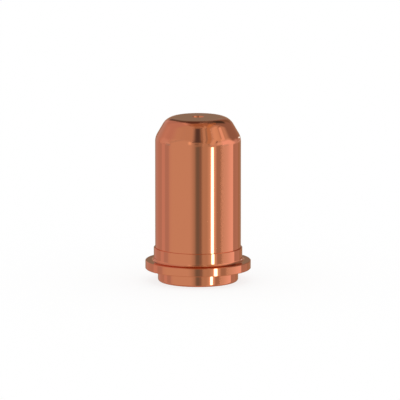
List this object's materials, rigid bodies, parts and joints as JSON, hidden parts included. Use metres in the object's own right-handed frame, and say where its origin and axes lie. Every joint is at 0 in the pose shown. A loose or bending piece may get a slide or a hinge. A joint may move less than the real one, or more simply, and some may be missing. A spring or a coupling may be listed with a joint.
{
  "type": "plasma torch nozzle",
  "caption": "Turned copper torch nozzle: flanged cup with a spigot and collar at the open rear, a plain round body, and a rounded conical nose with a small flared orifice.",
  "frame": {"origin": "centre of the rear face, on the bore axis", "axes": "+Z along the bore axis, from the open rear end towards the tip"},
  "size_m": [0.0197, 0.0196, 0.031],
  "materials": {
    "copper": "fine turned and polished copper"
  },
  "bodies": {
    "root": {"nozzle": "copper"}
  },
  "joints": []
}
